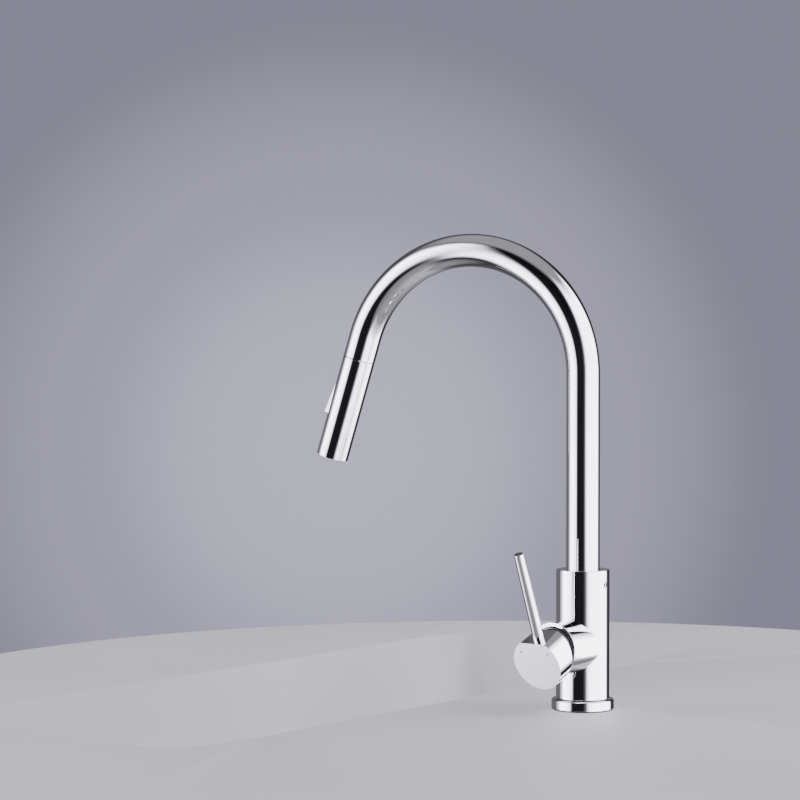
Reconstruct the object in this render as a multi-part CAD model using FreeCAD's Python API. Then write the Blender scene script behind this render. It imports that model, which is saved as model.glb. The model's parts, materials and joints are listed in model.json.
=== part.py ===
import FreeCAD, Part
import math
import os

from FreeCAD import Placement, Rotation, Vector

# A deck-mounted kitchen faucet with a swivelling gooseneck spout, a pull-down spray head
# and a side lever valve. Millimetres. The origin is the centre of the base on the deck
# surface, +Z is up, +X is the side valve's axis and -Y is the spout's middle position.

X = Vector(1, 0, 0)
Y = Vector(0, 1, 0)
Z = Vector(0, 0, 1)
ORIGIN = Vector(0, 0, 0)

# Spout
TUBE_R = 14.0
TUBE_WALL = 1.2
BEND_R = 104.0
BEND_Z = 278.5
OUTLET_TILT = 17.3
OUTLET_STRAIGHT = 20.0
SPOUT_SWING = 11.7
TUBE_FOOT = 107.8

# Body column, its side branch and the base
BODY_R = 22.2
BODY_TOP = 116.2
BODY_FOOT = 9.5
BRANCH_R = 21.9
BRANCH_Z = 53.8
BRANCH_END = 43.9
FLANGE_R = 25.9
FLANGE_TOP = 8.9
GASKET_T = 1.0
SPIGOT_R = 20.0
SPIGOT_FOOT = 2.5
SOCKET_R = 14.08
SOCKET_FLOOR = 73.0
SET_SCREW_Z = 104.3

# Clamp under the worktop
SHANK_R = 17.0
SHANK_BORE = 15.2
SHANK_FOOT = -62.0
SHANK_TOP = 12.8
CLAMP_Z = -34.0
PORT_OFFSET = 10.6
PORT_TURN = 5.0
PORT_R = 3.5
PORT_DEPTH = 11.0
BLOCK_FOOT = 13.0
BLOCK_TOP = 25.9
WAY_R = 2.2

# Valve
PIVOT_X = 40.0
LEVER_OPEN = 21.9
CHAMBER_X = 13.5
CHAMBER_R = 18.0
NUT_BORE = 19.0
NUT_X = 34.5
INLET_Y = 9.18
INLET_RISE = 3.0
OUTLET_DROP = 9.5
BALL_REACH = 12.0
STEM_HALF = 3.8
DOME_R = 18.7

# Handle, measured from the lever's pivot
CAP_R = 22.25
CAP_FACE = 28.1
CAP_REAR_TOP = 4.35
CAP_REAR_BOTTOM = 14.6
FLAT_FRONT = 19.0
FLAT_REAR = 20.1
LEVER_Q = 18.2
LEVER_TOP = 94.8
LEVER_TIP_R = 4.0
LEVER_BASE_R = 4.6
LEVER_SEAT = 0.3
SCREW_Q = 21.8
DOT_U = 13.0
DOT_V = 10.5

# Pull-out hose
HOSE_R = 5.75
HOSE_FOOT = -70.0
HOSE_TOP_GAP = 9.5

# Spray head, measured down its axis from the seam
HEAD_LEN = 89.6
HEAD_START = 0.4
SHELL_BORE = 12.5
NECK_R = 10.2
NECK_UP = 18.5
CORE_R = 12.2
CORE_TOP = 14.2
CORE_FOOT = 79.8
PIN_X = 9.0
PIN_DOWN = 36.0
BUTTON_HALF_W = 5.4
BUTTON_HALF_L = 18.5
BUTTON_TILT = 7.0
BUTTON_PROUD = 1.1
JETS_PER_RING = 12
NOZZLE_RINGS = ((8.7, 0.25), (10.6, 0.75))


def rod(radius, base, axis, length):
    """A solid cylinder."""
    return Part.makeCylinder(radius, length, base, axis)


def pipe(outer, inner, base, axis, length):
    """A hollow cylinder with plain ends."""
    solid = rod(outer, base, axis, length)
    return solid.cut(rod(inner, base - axis, axis, length + 2))


def box(low, high):
    """A block between two corners."""
    size = high - low
    return Part.makeBox(size.x, size.y, size.z, low)


def fuse(shapes):
    """One solid from several that touch."""
    solid = shapes[0]
    for shape in shapes[1:]:
        solid = solid.fuse(shape)
    return solid.removeSplitter()


def cut(solid, tools):
    """A solid less several tools."""
    for tool in tools:
        solid = solid.cut(tool)
    return solid


def turned(profile, base, axis):
    """A solid of revolution. The profile's points are (radius, height along the axis)."""
    points = [Vector(r, 0, h) for r, h in profile]
    wire = Part.makePolygon(points + [points[0]])
    solid = Part.Face(wire).revolve(ORIGIN, Z, 360)
    solid.Placement = Placement(base, Rotation(Z, axis))
    return solid


def spout_place():
    """Local +X points out along the spout, which stands swung from the middle."""
    return Placement(ORIGIN, Rotation(Z, SPOUT_SWING - 90))


def outlet_point():
    """The seam between spout and head, in the spout's own plane."""
    tilt = math.radians(OUTLET_TILT)
    x = BEND_R + BEND_R * math.cos(tilt) + OUTLET_STRAIGHT * math.sin(tilt)
    z = BEND_Z + BEND_R * math.sin(tilt) - OUTLET_STRAIGHT * math.cos(tilt)
    return Vector(x, 0, z)


def head_place():
    """Head pieces are drawn hanging down -Z from the seam, with the button on +X."""
    hang = Placement(outlet_point(), Rotation(Y, -OUTLET_TILT))
    return spout_place().multiply(hang)


def lever_place():
    """Handle pieces are drawn around the pivot, with +X out through the handle's face."""
    return Placement(Vector(PIVOT_X, 0, BRANCH_Z), Rotation(Y, LEVER_OPEN))


def placed(shape, placement):
    """A copy of the shape, moved from its own frame to the faucet's."""
    moved = shape.copy()
    moved.Placement = placement.multiply(moved.Placement)
    return moved


def gooseneck(radius, foot, tail):
    """A solid rod up the column, over the bend and down the outlet by the tail's length."""
    riser = rod(radius, Vector(0, 0, foot), Z, BEND_Z - foot)
    disc = Part.Face(Part.Wire(Part.makeCircle(radius, Vector(0, 0, BEND_Z), Z)))
    bend = disc.revolve(Vector(BEND_R, 0, BEND_Z), Y, 180 - OUTLET_TILT)
    tilt = math.radians(OUTLET_TILT)
    down = Vector(math.sin(tilt), 0, -math.cos(tilt))
    start = outlet_point() - down * OUTLET_STRAIGHT
    return fuse([riser, bend, rod(radius, start, down, tail)])


# ---- body column and base ------------------------------------------------------------


def riser_spots():
    """Where the two inlets pass beside the hose, and where the outlet comes down."""
    return [Vector(-PORT_OFFSET / 2, -INLET_Y, 0), Vector(-PORT_OFFSET / 2, INLET_Y, 0),
            Vector(PORT_OFFSET, 0, 0)]


def water_ways():
    """Drilled ways from the port block up to the valve's ports."""
    ways = []
    foot = BLOCK_TOP - 1
    levels = [BRANCH_Z + INLET_RISE, BRANCH_Z + INLET_RISE, BRANCH_Z - OUTLET_DROP]
    for spot, level in zip(riser_spots(), levels):
        ways.append(rod(WAY_R, spot + Z * foot, Z, level + WAY_R - foot))
        ways.append(rod(WAY_R, spot + Z * level, X, CHAMBER_X + 0.5 - spot.x))
    return ways


def port_block():
    """Brass block in the column's foot, with three threaded ports around the hose."""
    solid = rod(SHANK_R, Vector(0, 0, BLOCK_FOOT), Z, BLOCK_TOP - BLOCK_FOOT)
    tools = [rod(6.4, ORIGIN, Z, BLOCK_TOP + 1)]
    turn = Rotation(Z, PORT_TURN)
    for spot in riser_spots():
        tools.append(rod(PORT_R, turn.multVec(spot), Z, BLOCK_FOOT + PORT_DEPTH))
        tools.append(rod(WAY_R, spot, Z, BLOCK_TOP + 1))
    return cut(solid, tools)


def body_casting():
    """Column and valve branch in one brass casting, bored for spout, hose and valve."""
    column = turned(
        [(0, BODY_FOOT), (BODY_R - 0.4, BODY_FOOT), (BODY_R, BODY_FOOT + 0.4),
         (BODY_R, BODY_TOP - 0.6), (BODY_R - 0.6, BODY_TOP), (0, BODY_TOP)], ORIGIN, Z)
    branch = turned(
        [(0, 0), (BRANCH_R, 0), (BRANCH_R, BRANCH_END - 0.5),
         (BRANCH_R - 0.5, BRANCH_END), (0, BRANCH_END)], Vector(0, 0, BRANCH_Z), X)
    spigot = rod(SPIGOT_R, Vector(0, 0, SPIGOT_FOOT), Z, BODY_FOOT + 1 - SPIGOT_FOOT)
    solid = fuse([column, branch, spigot])
    bores = [
        rod(SOCKET_R, Vector(0, 0, SOCKET_FLOOR), Z, BODY_TOP + 1 - SOCKET_FLOOR),
        rod(7.6, Vector(0, 0, 66.5), Z, 10),
        rod(6.4, ORIGIN, Z, 70),
        rod(SHANK_R + 0.05, ORIGIN, Z, BLOCK_TOP + 0.1),
        rod(CHAMBER_R, Vector(CHAMBER_X, 0, BRANCH_Z), X, BRANCH_END),
        rod(NUT_BORE, Vector(NUT_X, 0, BRANCH_Z), X, BRANCH_END),
        rod(2.5, Vector(0, SOCKET_R - 1, SET_SCREW_Z), Y, BODY_R),
    ]
    return cut(solid, bores + water_ways())


def base_flange():
    """Base ring with a rounded top edge."""
    edge = 1.6
    ring = rod(FLANGE_R, Vector(0, 0, GASKET_T), Z, FLANGE_TOP - GASKET_T)
    rim = [e for e in ring.Edges if abs(e.BoundBox.ZMin - FLANGE_TOP) < 1e-6]
    ring = ring.makeFillet(edge, [e for e in rim if abs(e.BoundBox.ZMax - FLANGE_TOP) < 1e-6])
    return ring.cut(rod(SPIGOT_R + 0.08, ORIGIN, Z, FLANGE_TOP + 1))


def flange_seal_ring():
    """Rubber ring in the seam between base ring and column."""
    return pipe(21.7, SPIGOT_R + 0.08, Vector(0, 0, FLANGE_TOP), Z, BODY_FOOT - FLANGE_TOP)


def base_gasket():
    """Rubber ring on the deck."""
    return pipe(25.2, 18.5, ORIGIN, Z, GASKET_T)


def threaded_shank():
    """Hollow shank that passes through the worktop."""
    profile = [
        (SHANK_BORE, SHANK_FOOT), (SHANK_R - 0.8, SHANK_FOOT), (SHANK_R, SHANK_FOOT + 0.8),
        (SHANK_R, SHANK_TOP), (SHANK_BORE, SHANK_TOP)]
    return turned(profile, ORIGIN, Z)


def deck_rubber_washer():
    """Rubber washer against the worktop's underside."""
    return pipe(28.0, SHANK_R + 0.5, Vector(0, 0, CLAMP_Z), Z, 3.0)


def deck_steel_washer():
    """Steel washer that the jack screws push on."""
    return pipe(28.0, SHANK_R + 0.5, Vector(0, 0, CLAMP_Z - 1.6), Z, 1.6)


def jack_spots():
    """Three places around the mounting nut."""
    turns = [math.radians(90 + 120 * i) for i in range(3)]
    return [Vector(23.0 * math.cos(t), 23.0 * math.sin(t), 0) for t in turns]


def mounting_nut():
    """Ring nut with three bosses for jack screws."""
    low = CLAMP_Z - 14.0
    solids = [rod(21.5, Vector(0, 0, low), Z, 9.0)]
    solids += [rod(5.2, spot + Vector(0, 0, low), Z, 9.0) for spot in jack_spots()]
    nut = fuse(solids)
    holes = [rod(SHANK_R + 0.05, Vector(0, 0, low - 1), Z, 12)]
    holes += [rod(2.5, spot + Vector(0, 0, low - 1), Z, 12) for spot in jack_spots()]
    return cut(nut, holes)


def nut_jack_screws():
    """Three screws with cross slots, each its own solid."""
    tip = CLAMP_Z - 1.6
    screws = []
    for spot in jack_spots():
        shaft = rod(2.45, spot + Vector(0, 0, tip - 16.0), Z, 16.0)
        head = rod(4.0, spot + Vector(0, 0, tip - 19.0), Z, 3.0)
        slots = []
        for half_x, half_y in ((3.0, 0.4), (0.4, 3.0)):
            low = spot + Vector(-half_x, -half_y, tip - 19.5)
            high = spot + Vector(half_x, half_y, tip - 17.6)
            slots.append(box(low, high))
        screws.append(cut(fuse([shaft, head]), slots))
    return Part.makeCompound(screws)


def hex_socket(across, base, axis, depth):
    """A hexagonal pocket along an axis."""
    corner = across / math.sqrt(3)
    spin = Rotation(Z, axis)
    points = []
    for i in range(6):
        turn = math.radians(60 * i)
        points.append(base + spin.multVec(Vector(corner * math.cos(turn), corner * math.sin(turn), 0)))
    return Part.Face(Part.makePolygon(points + [points[0]])).extrude(axis * depth)


def spout_set_screw():
    """Grub screw whose nose runs in the spout sleeve's groove."""
    outer = BODY_R - 0.7
    nose = rod(1.6, Vector(0, 12.1, SET_SCREW_Z), Y, 3.0)
    shank = rod(2.45, Vector(0, 14.9, SET_SCREW_Z), Y, outer - 14.9)
    socket = hex_socket(2.5, Vector(0, outer + 0.1, SET_SCREW_Z), Vector(0, -1, 0), 2.6)
    return fuse([nose, shank]).cut(socket)


def hose_guide_bush():
    """Flanged plastic bush that leads the hose out of the column."""
    profile = [(6.2, 66.5), (7.55, 66.5), (7.55, 73.0), (10.0, 73.0), (10.0, 74.4), (6.2, 74.4)]
    return turned(profile, ORIGIN, Z)


def hose_lower_fitting():
    """Ferrule and plug-in nipple on the hose's lower end."""
    profile = [
        (3.0, -96.0), (4.6, -96.0), (5.0, -95.6), (5.0, -78.0), (6.9, -78.0), (6.9, -64.0),
        (HOSE_R + 0.05, -64.0), (HOSE_R + 0.05, HOSE_FOOT - 0.4), (3.0, HOSE_FOOT - 0.4)]
    return turned(profile, ORIGIN, Z)


# ---- valve, still pieces -------------------------------------------------------------


def port_spots():
    """The cartridge's two inlets and its outlet, around the branch's axis."""
    return [
        Vector(0, -INLET_Y, BRANCH_Z + INLET_RISE),
        Vector(0, INLET_Y, BRANCH_Z + INLET_RISE),
        Vector(0, 0, BRANCH_Z - OUTLET_DROP)]


def branch_point(x):
    """A point on the branch's axis."""
    return Vector(x, 0, BRANCH_Z)


def cartridge_base():
    """Plastic plate with three ports and a seat for each seal."""
    plate = rod(17.5, branch_point(14.2), X, 3.0)
    holes = []
    for spot in port_spots():
        holes.append(rod(2.7, spot + X * 13, X, 6))
        holes.append(rod(4.0, spot + X * 13, X, 2.5))
    return cut(plate, holes)


def cartridge_base_seals():
    """Three rubber rings, each its own solid."""
    return Part.makeCompound([pipe(3.9, 2.7, spot + X * CHAMBER_X, X, 2.0) for spot in port_spots()])


def fixed_ceramic_disc():
    """Still ceramic disc with the three ports."""
    disc = rod(13.5, branch_point(17.2), X, 3.5)
    return cut(disc, [rod(2.5, spot + X * 16, X, 6) for spot in port_spots()])


def cartridge_housing():
    """Plastic cup over the discs, with a shoulder for the nut."""
    profile = [
        (16.0, 17.2), (17.5, 17.2), (17.5, 32.6), (17.9, 32.6), (17.9, 34.5), (12.6, 34.5),
        (12.6, 33.0), (16.0, 33.0)]
    return turned(profile, branch_point(0), X)


def cartridge_nut():
    """Brass ring nut with four wrench slots."""
    ring = pipe(18.95, 14.2, branch_point(NUT_X), X, 6.3)
    slots = []
    for half_y, half_z in ((20, 1.6), (1.6, 20)):
        slots.append(box(Vector(38.6, -half_y, BRANCH_Z - half_z), Vector(42, half_y, BRANCH_Z + half_z)))
    return cut(ring, slots)


def trim_dome():
    """Domed cover ring, round about the lever's pivot."""
    pivot = branch_point(PIVOT_X)
    ball = Part.makeSphere(DOME_R, pivot)
    hollow = Part.makeSphere(DOME_R - 1.3, pivot)
    start = 40.8
    keep = rod(DOME_R + 1, branch_point(start), X, 30)
    shell = ball.cut(hollow).common(keep)
    return shell.cut(rod(13.45, branch_point(0), X, 80))


# ---- valve, moving pieces ------------------------------------------------------------


def cartridge_rotor():
    """Plastic turret that the lever turns, slotted for the stem."""
    profile = [(0, 30.6), (15.7, 30.6), (15.7, 32.7), (12.3, 32.7), (12.3, 42.4), (0, 42.4)]
    solid = turned(profile, branch_point(0), X)
    slot = box(Vector(30, -4.2, BRANCH_Z - 6), Vector(43, 4.2, BRANCH_Z + 8))
    return cut(solid, [slot, rod(1.55, Vector(PIVOT_X, -14, BRANCH_Z), Y, 28)])


def disc_lift():
    """How far the open lever holds the moving disc above the branch's axis."""
    return BALL_REACH * math.sin(math.radians(LEVER_OPEN))


def moving_ceramic_disc():
    """Sliding ceramic disc with a mixing hollow in its face."""
    base = branch_point(20.75) + Z * disc_lift()
    disc = rod(10.3, base, X, 3.5)
    return disc.cut(rod(7.2, base - X, X, 3.0))


def disc_carrier():
    """Carrier on the moving disc, with the socket for the stem's ball."""
    base = branch_point(24.25) + Z * disc_lift()
    return rod(10.3, base, X, 5.75).cut(rod(3.0, base + X * 0.75, X, 8))


def lever_stem():
    """Square stem with a ball on its inner end."""
    square = box(Vector(-4, -STEM_HALF, -STEM_HALF), Vector(24, STEM_HALF, STEM_HALF))
    neck = rod(2.1, Vector(-BALL_REACH, 0, 0), X, 9)
    ball = Part.makeSphere(2.6, Vector(-BALL_REACH, 0, 0))
    return fuse([square, neck, ball]).cut(rod(1.5, Vector(0, -6, 0), Y, 12))


def stem_pin():
    """Pin that the lever tilts on."""
    return rod(1.5, Vector(0, -11, 0), Y, 22)


def flat_height(q):
    """Height of the cap's flat above the cap's axis, q out from the pivot."""
    return FLAT_REAR + (FLAT_FRONT - FLAT_REAR) * q / CAP_FACE


def handle_cap():
    """Round cap with a slanted rear, a flat for the lever pin and a hollow over the dome."""
    edge = 0.7
    solid = turned(
        [(0, 0), (CAP_R, 0), (CAP_R, CAP_FACE - edge), (CAP_R - edge, CAP_FACE), (0, CAP_FACE)],
        ORIGIN, X)
    slope = (CAP_REAR_BOTTOM - CAP_REAR_TOP) / (2 * CAP_R)
    middle = (CAP_REAR_BOTTOM + CAP_REAR_TOP) / 2
    reach = CAP_R + 5
    rear = Part.makePolygon([
        Vector(-reach, -reach, -reach), Vector(middle + slope * reach, -reach, -reach),
        Vector(middle - slope * reach, -reach, reach), Vector(-reach, -reach, reach),
        Vector(-reach, -reach, -reach)])
    rise = (FLAT_REAR - FLAT_FRONT) / CAP_FACE
    top = Part.makePolygon([
        Vector(-5, -reach, FLAT_REAR + 5 * rise), Vector(CAP_FACE + 5, -reach, FLAT_FRONT - 5 * rise),
        Vector(CAP_FACE + 5, -reach, 40), Vector(-5, -reach, 40),
        Vector(-5, -reach, FLAT_REAR + 5 * rise)])
    across = Y * (2 * reach)
    tools = [Part.Face(rear).extrude(across), Part.Face(top).extrude(across)]
    tools.append(Part.makeSphere(DOME_R + 0.6))
    half = STEM_HALF + 0.05
    tools.append(box(Vector(0, -half, -half), Vector(24.5, half, half)))
    tools.append(rod(2.5, Vector(SCREW_Q, 0, 0), -Z, 30))
    tools.append(rod(3.0, Vector(LEVER_Q, 0, 11.0), Z, 20))
    tools.append(rod(LEVER_BASE_R + 0.05, Vector(LEVER_Q, 0, flat_height(LEVER_Q) - LEVER_SEAT), Z, 20))
    for side in (-1, 1):
        tools.append(rod(0.95, Vector(CAP_FACE - 0.7, side * DOT_U, DOT_V), X, 2))
    return cut(solid, tools)


def lever_pin():
    """Slim tapered pin that stands on the flat."""
    foot = flat_height(LEVER_Q) - LEVER_SEAT
    profile = [
        (0, 11.4), (2.95, 11.4), (2.95, foot), (LEVER_BASE_R, foot), (LEVER_TIP_R, LEVER_TOP - 0.5),
        (LEVER_TIP_R - 0.5, LEVER_TOP), (0, LEVER_TOP)]
    return turned(profile, Vector(LEVER_Q, 0, 0), Z)


def handle_set_screw():
    """Grub screw that clamps the cap on the stem."""
    screw = rod(2.45, Vector(SCREW_Q, 0, -STEM_HALF), -Z, 7.5)
    socket = hex_socket(2.5, Vector(SCREW_Q, 0, -STEM_HALF - 7.6), Z, 2.6)
    return screw.cut(socket)


def set_screw_plug():
    """Small plug that covers the grub screw."""
    return rod(2.45, Vector(SCREW_Q, 0, -CAP_R + 3.4), -Z, 3.3)


def face_dot(side):
    """Round temperature mark let into the handle's face."""
    return rod(0.9, Vector(CAP_FACE - 0.65, side * DOT_U, DOT_V), X, 0.65)


# ---- spout ---------------------------------------------------------------------------


def spout_tube():
    """Bent spout tube."""
    outer = gooseneck(TUBE_R, TUBE_FOOT, OUTLET_STRAIGHT)
    inner = gooseneck(TUBE_R - TUBE_WALL, TUBE_FOOT - 2, OUTLET_STRAIGHT + 2)
    return outer.cut(inner)


def spout_sleeve():
    """Brass sleeve in the spout's foot, with ring grooves and an arc for the set screw."""
    spigot_r = TUBE_R - TUBE_WALL - 0.05
    profile = [
        (8.6, 75.0), (13.7, 75.0), (13.7, 77.0), (12.4, 77.0), (12.4, 81.0), (13.7, 81.0),
        (13.7, 94.0), (12.4, 94.0), (12.4, 98.0), (13.7, 98.0), (13.7, TUBE_FOOT),
        (spigot_r, TUBE_FOOT), (spigot_r, 122.0), (8.6, 122.0)]
    sleeve = turned(profile, ORIGIN, Z)
    arc = 136
    low = Vector(0, 0, SET_SCREW_Z - 2.0)
    ring = Part.makeCylinder(16, 4.0, low, Z, arc).cut(rod(11.6, low - Z, Z, 6))
    ring.rotate(ORIGIN, Z, 180 - arc / 2)
    return sleeve.cut(ring)


def slide_ring(low):
    """Plastic ring that centres the spout in the column."""
    return pipe(14.03, 12.45, Vector(0, 0, low), Z, 3.8)


def docking_collar():
    """Plastic collar in the spout's mouth that the head's neck plugs into."""
    bore = 10.55
    profile = [
        (12.75, 0.3), (12.75, 19.4), (11.4, 19.4), (bore, 18.4), (bore, 1.0), (bore + 0.5, 0.3)]
    return turned(profile, ORIGIN, Z)


# ---- hose ----------------------------------------------------------------------------


def pull_hose():
    """Hose from its lower fitting, up the column and over the bend to the head."""
    return gooseneck(HOSE_R, HOSE_FOOT, HOSE_TOP_GAP)


def hose_top_fitting():
    """Fitting on the hose's upper end, turning in the head's neck."""
    hose_end = OUTLET_STRAIGHT - HOSE_TOP_GAP
    profile = [
        (3.5, 6.3), (6.93, 6.3), (6.93, 18.8), (8.4, 18.8), (8.4, 19.9), (HOSE_R, 19.9),
        (HOSE_R, hose_end), (3.5, hose_end)]
    return turned(profile, ORIGIN, Z)


# ---- spray head ----------------------------------------------------------------------


def down(length):
    """A point on the head's axis, below the seam."""
    return Vector(0, 0, -length)


def slot_plate(half_w, half_l, corner, inner, outer):
    """A rounded upright plate on the +X side, about the button's pivot height."""
    low = Vector(inner, -half_w, -PIN_DOWN - half_l)
    high = Vector(outer, half_w, -PIN_DOWN + half_l)
    plate = box(low, high)
    along = [e for e in plate.Edges if e.BoundBox.XLength > outer - inner - 0.01]
    return plate.makeFillet(corner, along)


def head_shell():
    """Chromed sleeve of the spray head, with the button's window."""
    edge = 0.5
    profile = [
        (SHELL_BORE, -HEAD_LEN), (TUBE_R - edge, -HEAD_LEN), (TUBE_R, -HEAD_LEN + edge),
        (TUBE_R, -HEAD_START - 0.2), (TUBE_R - 0.2, -HEAD_START), (SHELL_BORE, -HEAD_START)]
    window = slot_plate(BUTTON_HALF_W + 0.45, BUTTON_HALF_L + 1.0, 2.4, 6, 20)
    window.translate(Vector(0, 0, -0.5))
    return turned(profile, ORIGIN, Z).cut(window)


def head_neck():
    """Neck that plugs into the spout, with the hose's seat and the check valve's bore."""
    profile = [
        (5.0, -14.0), (10.0, -14.0), (10.0, -5.0), (12.45, -5.0), (12.45, -1.0), (NECK_R, -1.0),
        (NECK_R, 9.9), (9.3, 9.9), (9.3, 12.1), (NECK_R, 12.1), (NECK_R, NECK_UP - 0.6),
        (NECK_R - 0.6, NECK_UP), (7.0, NECK_UP), (7.0, 5.2), (5.0, 5.2)]
    return turned(profile, ORIGIN, Z)


def neck_friction_ring():
    """Ring that grips lightly in the docking collar."""
    return pipe(10.5, 9.3, Vector(0, 0, 10.0), Z, 2.0)


def inlet_washer():
    """Sealing washer under the hose fitting."""
    return pipe(6.8, 3.6, Vector(0, 0, 5.2), Z, 1.0)


def check_valve():
    """Drop-in check valve: a cup with four side windows."""
    cup = pipe(4.95, 3.9, down(8.0), Z, 12.5)
    floor = rod(3.9, down(8.0), Z, 1.2)
    windows = []
    for half_x, half_y in ((6, 1.2), (1.2, 6)):
        windows.append(box(Vector(-half_x, -half_y, -6.0), Vector(half_x, half_y, -2.0)))
    return cut(fuse([cup, floor]), windows)


def head_core():
    """Water block with the diverter's chamber and the button's pocket."""
    solid = rod(CORE_R, down(CORE_FOOT), Z, CORE_FOOT - CORE_TOP)
    pocket = slot_plate(BUTTON_HALF_W + 0.5, BUTTON_HALF_L + 1.2, 2.4, 6.4, 20)
    pocket.translate(Vector(0, 0, -0.6))
    tools = [
        pocket,
        rod(4.4, down(28), Z, 16),
        rod(5.0, down(60), Z, 33),
        rod(4.0, down(CORE_FOOT + 1), Z, 22),
        box(Vector(3, -1.6, -PIN_DOWN - 3.2), Vector(8, 1.6, -PIN_DOWN + 3.2)),
        rod(1.05, Vector(PIN_X, -10, -PIN_DOWN), Y, 20),
    ]
    for i in range(6):
        turn = math.radians(60 * i + 30)
        spot = Vector(8.6 * math.cos(turn), 8.6 * math.sin(turn), -CORE_FOOT - 1)
        tools.append(rod(1.6, spot, Z, 16))
    return cut(solid, tools)


def spray_button():
    """Rocker whose lower end stands proud, with a finger that moves the diverter."""
    plate = slot_plate(BUTTON_HALF_W, BUTTON_HALF_L, 2.0, 10.5, 20)
    axis = Rotation(Y, -BUTTON_TILT).multVec(Z)
    start = Vector(BUTTON_PROUD, 0, -PIN_DOWN) - axis * 40
    face = plate.common(rod(TUBE_R, start, axis, 80))
    hub = rod(2.2, Vector(PIN_X, -BUTTON_HALF_W + 0.3, -PIN_DOWN), Y, 2 * BUTTON_HALF_W - 0.6)
    web = box(Vector(PIN_X, -BUTTON_HALF_W + 0.3, -PIN_DOWN - 2.2),
              Vector(11.5, BUTTON_HALF_W - 0.3, -PIN_DOWN + 2.2))
    finger = rod(1.0, Vector(3.0, 0, -PIN_DOWN), X, PIN_X - 3.0)
    solid = fuse([face, web, hub, finger])
    return solid.cut(rod(1.05, Vector(PIN_X, -10, -PIN_DOWN), Y, 20))


def button_pin():
    """Pin that the button rocks on."""
    return rod(1.0, Vector(PIN_X, -6.9, -PIN_DOWN), Y, 13.8)


def diverter_spool():
    """Spool that sends the water to the jets or to the aerator."""
    profile = [
        (0, -58.0), (4.6, -58.0), (4.6, -PIN_DOWN - 1.35), (2.5, -PIN_DOWN - 1.35),
        (2.5, -PIN_DOWN + 1.35), (4.6, -PIN_DOWN + 1.35), (4.6, -30.0), (0, -30.0)]
    return turned(profile, ORIGIN, Z)


def nozzle_spots():
    """Jets on two rings around the aerator."""
    spots = []
    for ring_r, start in NOZZLE_RINGS:
        for i in range(JETS_PER_RING):
            turn = 2 * math.pi * (i + start) / JETS_PER_RING
            spots.append(Vector(ring_r * math.cos(turn), ring_r * math.sin(turn), 0))
    return spots


def spray_face():
    """Face plate with a hole for each jet and one for the aerator."""
    plate = rod(12.4, down(88.8), Z, 6.4)
    tools = [rod(7.0, down(90), Z, 10)]
    tools += [rod(0.95, spot + down(90), Z, 10) for spot in nozzle_spots()]
    return cut(plate, tools)


def nozzle_mat():
    """Rubber mat with a hollow nipple for each jet."""
    mat = pipe(12.2, 7.4, down(82.4), Z, 2.0)
    nipples = []
    for spot in nozzle_spots():
        nipples.append(Part.makeCone(0.7, 0.9, 7.2, spot + down(89.4), Z))
    holes = [rod(0.35, spot + down(90), Z, 12) for spot in nozzle_spots()]
    return cut(fuse([mat] + nipples), holes)


def aerator_insert():
    """Screw-in ring around the aerator's mesh."""
    profile = [
        (5.8, -88.6), (6.4, -88.6), (6.9, -88.2), (6.9, -80.0), (5.0, -80.0), (5.0, -81.2), (5.8, -81.2)]
    return turned(profile, ORIGIN, Z)


def aerator_mesh():
    """Round grid in the aerator."""
    disc = rod(5.75, down(87.4), Z, 0.9)
    pitch = 1.35
    tools = []
    for row in range(-4, 5):
        for col in range(-4, 5):
            spot = Vector((col + (row % 2) / 2) * pitch, row * pitch * math.sqrt(3) / 2, 0)
            if spot.Length < 5.0:
                tools.append(rod(0.5, spot + down(88), Z, 2))
    return cut(disc, tools)


def build():
    """Every node by name."""
    still = {
        "body_casting": body_casting(),
        "port_block": port_block(),
        "base_flange": base_flange(),
        "flange_seal_ring": flange_seal_ring(),
        "base_gasket": base_gasket(),
        "threaded_shank": threaded_shank(),
        "deck_rubber_washer": deck_rubber_washer(),
        "deck_steel_washer": deck_steel_washer(),
        "mounting_nut": mounting_nut(),
        "nut_jack_screws": nut_jack_screws(),
        "spout_set_screw": spout_set_screw(),
        "hose_guide_bush": hose_guide_bush(),
        "hose_lower_fitting": hose_lower_fitting(),
        "cartridge_base": cartridge_base(),
        "cartridge_base_seals": cartridge_base_seals(),
        "fixed_ceramic_disc": fixed_ceramic_disc(),
        "cartridge_housing": cartridge_housing(),
        "cartridge_nut": cartridge_nut(),
        "trim_dome": trim_dome(),
        "cartridge_rotor": cartridge_rotor(),
        "moving_ceramic_disc": moving_ceramic_disc(),
        "disc_carrier": disc_carrier(),
    }
    lever = {
        "lever_stem": lever_stem(),
        "stem_pin": stem_pin(),
        "handle_cap": handle_cap(),
        "lever_pin": lever_pin(),
        "handle_set_screw": handle_set_screw(),
        "set_screw_plug": set_screw_plug(),
        "hot_dot": face_dot(-1),
        "cold_dot": face_dot(1),
    }
    spout = {
        "spout_tube": spout_tube(),
        "spout_sleeve": spout_sleeve(),
        "upper_slide_ring": slide_ring(94.1),
        "lower_slide_ring": slide_ring(77.1),
        "pull_hose": pull_hose(),
    }
    head = {
        "docking_collar": docking_collar(),
        "hose_top_fitting": hose_top_fitting(),
        "head_shell": head_shell(),
        "head_neck": head_neck(),
        "neck_friction_ring": neck_friction_ring(),
        "inlet_washer": inlet_washer(),
        "check_valve": check_valve(),
        "head_core": head_core(),
        "spray_button": spray_button(),
        "button_pin": button_pin(),
        "diverter_spool": diverter_spool(),
        "spray_face": spray_face(),
        "nozzle_mat": nozzle_mat(),
        "aerator_insert": aerator_insert(),
        "aerator_mesh": aerator_mesh(),
    }
    nodes = dict(still)
    for group, place in ((lever, lever_place()), (spout, spout_place()), (head, head_place())):
        for name, shape in group.items():
            nodes[name] = placed(shape, place)
    return nodes


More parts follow.
